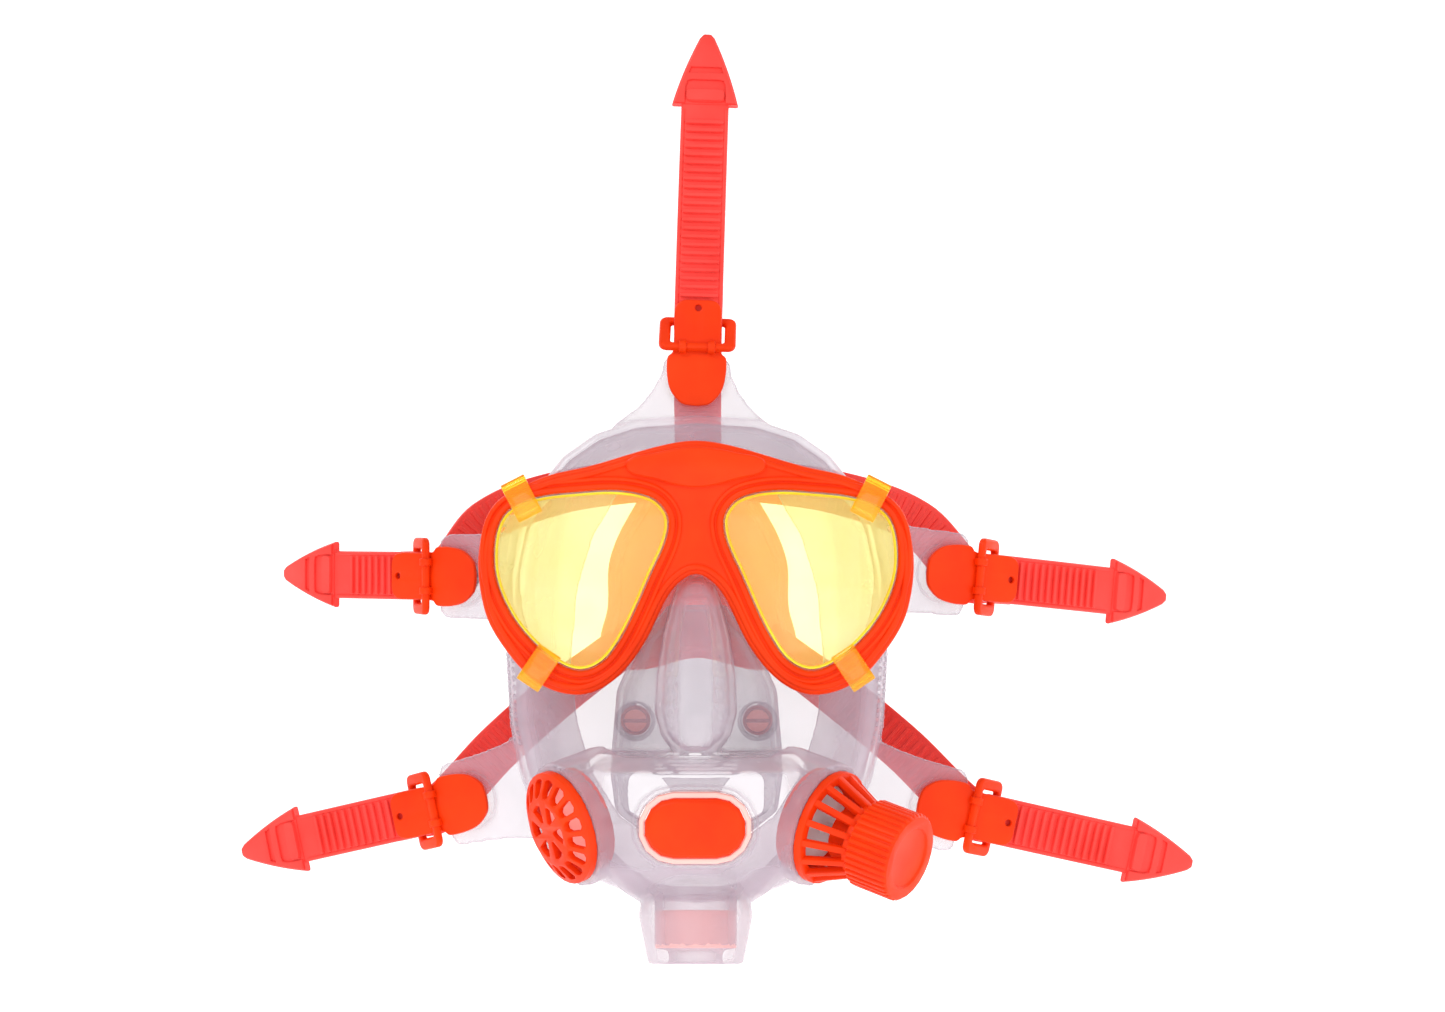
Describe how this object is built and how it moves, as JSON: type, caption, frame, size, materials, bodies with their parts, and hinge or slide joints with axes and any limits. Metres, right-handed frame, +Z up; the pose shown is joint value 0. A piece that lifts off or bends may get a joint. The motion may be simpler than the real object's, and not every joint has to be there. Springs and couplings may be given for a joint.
{
  "type": "full-face breathing mask",
  "caption": "Clear full-face breathing mask with an orange lens frame, tinted clip-on filters, exhale valve, knob valve, plugged port and buckled rubber head straps.",
  "frame": {"origin": "middle of the face opening, on the mask's centre plane", "axes": "+Z up, -Y the way the wearer looks, +X toward the knob valve"},
  "size_m": [0.396, 0.17, 0.3709],
  "materials": {
    "clear_silicone": "translucent satin",
    "orange_plastic": "satin",
    "coral_rubber": "satin",
    "lens_glass": "clear",
    "yellow_filter": "clear gloss",
    "grey_plastic": "satin",
    "valve_rubber": "satin",
    "pink_rubber": "satin"
  },
  "bodies": {
    "root": {"face_skirt": "clear_silicone", "lens_frame": "orange_plastic", "glass_lens_l": "lens_glass", "glass_lens_r": "lens_glass", "exhale_seat": "orange_plastic", "exhale_cover": "orange_plastic", "ambient_seat": "orange_plastic", "ambient_cage": "orange_plastic", "plug_gasket": "pink_rubber", "port_sleeve": "pink_rubber", "inner_cup": "clear_silicone", "inhale_seat_l": "grey_plastic", "inhale_seat_r": "grey_plastic", "head_harness": "coral_rubber", "buckle_plate_top": "orange_plastic", "buckle_stud_top": "grey_plastic", "buckle_plate_temple_l": "orange_plastic", "buckle_stud_temple_l": "grey_plastic", "buckle_plate_temple_r": "orange_plastic", "buckle_stud_temple_r": "grey_plastic", "buckle_plate_cheek_l": "orange_plastic", "buckle_stud_cheek_l": "grey_plastic", "buckle_plate_cheek_r": "orange_plastic", "buckle_stud_cheek_r": "grey_plastic"},
    "buckle_top": {"buckle_frame_top": "orange_plastic", "strap_tail_top": "coral_rubber"},
    "buckle_temple_l": {"buckle_frame_temple_l": "orange_plastic", "strap_tail_temple_l": "coral_rubber"},
    "buckle_temple_r": {"buckle_frame_temple_r": "orange_plastic", "strap_tail_temple_r": "coral_rubber"},
    "buckle_cheek_l": {"buckle_frame_cheek_l": "orange_plastic", "strap_tail_cheek_l": "coral_rubber"},
    "buckle_cheek_r": {"buckle_frame_cheek_r": "orange_plastic", "strap_tail_cheek_r": "coral_rubber"},
    "filter_l": {"tint_filter_l": "yellow_filter"},
    "filter_r": {"tint_filter_r": "yellow_filter"},
    "exhale_valve": {"exhale_disc": "valve_rubber"},
    "inhale_valve_l": {"inhale_flap_l": "valve_rubber"},
    "inhale_valve_r": {"inhale_flap_r": "valve_rubber"},
    "knob": {"ambient_knob": "orange_plastic"},
    "stem": {"ambient_stem": "grey_plastic"},
    "plug": {"port_plug": "orange_plastic"}
  },
  "joints": [
    {"name": "top_buckle_tilt", "type": "hinge", "parent": "root", "child": "buckle_top", "pos_m": [0, 0.03407, 0.1231], "axis": [-0.9995, 0.003, 0.03], "range_deg": [0, 8]},
    {"name": "temple_l_buckle_tilt", "type": "hinge", "parent": "root", "child": "buckle_temple_l", "pos_m": [-0.10921, 0.03673, 0.031], "axis": [0, 0, -1], "range_deg": [0, 8]},
    {"name": "temple_r_buckle_tilt", "type": "hinge", "parent": "root", "child": "buckle_temple_r", "pos_m": [0.11386, 0.03652, 0.031], "axis": [0.088, 0.047, 0.995], "range_deg": [0, 8]},
    {"name": "cheek_l_buckle_tilt", "type": "hinge", "parent": "root", "child": "buckle_cheek_l", "pos_m": [-0.10647, 0.03633, -0.0625], "axis": [0.2144, -0.0857, -0.973], "range_deg": [0, 8]},
    {"name": "cheek_r_buckle_tilt", "type": "hinge", "parent": "root", "child": "buckle_cheek_r", "pos_m": [0.11114, 0.03622, -0.065], "axis": [0.2207, 0.0664, 0.9731], "range_deg": [0, 8]},
    {"name": "filter_l_pull_off", "type": "slide", "parent": "root", "child": "filter_l", "axis": [0, -1, 0], "range_m": [0, 0.015]},
    {"name": "filter_r_pull_off", "type": "slide", "parent": "root", "child": "filter_r", "axis": [0, -1, 0], "range_m": [0, 0.015]},
    {"name": "exhale_disc_lift", "type": "slide", "parent": "root", "child": "exhale_valve", "axis": [-0.8051, -0.5294, -0.2677], "range_m": [0, 0.0018], "stiffness_N_per_m": 40},
    {"name": "inhale_flap_l_lift", "type": "slide", "parent": "root", "child": "inhale_valve_l", "axis": [0, 1, 0], "range_m": [0, 0.0015], "stiffness_N_per_m": 30},
    {"name": "inhale_flap_r_lift", "type": "slide", "parent": "root", "child": "inhale_valve_r", "axis": [0, 1, 0], "range_m": [0, 0.0015], "stiffness_N_per_m": 30},
    {"name": "ambient_knob_turn", "type": "hinge", "parent": "root", "child": "knob", "pos_m": [0.0495, -0.038, -0.062], "axis": [0.8051, -0.5294, -0.2677], "range_deg": [0, 270]},
    {"name": "ambient_stem_lift", "type": "slide", "parent": "root", "child": "stem", "axis": [0.8051, -0.5294, -0.2677], "range_m": [0, 0.004]},
    {"name": "port_plug_pull", "type": "slide", "parent": "root", "child": "plug", "axis": [0, -1, 0], "range_m": [0, 0.02]}
  ],
  "couplings": [
    {"joint": "ambient_stem_lift", "follows": "ambient_knob_turn", "m_per_rad": 0.00084883}
  ]
}
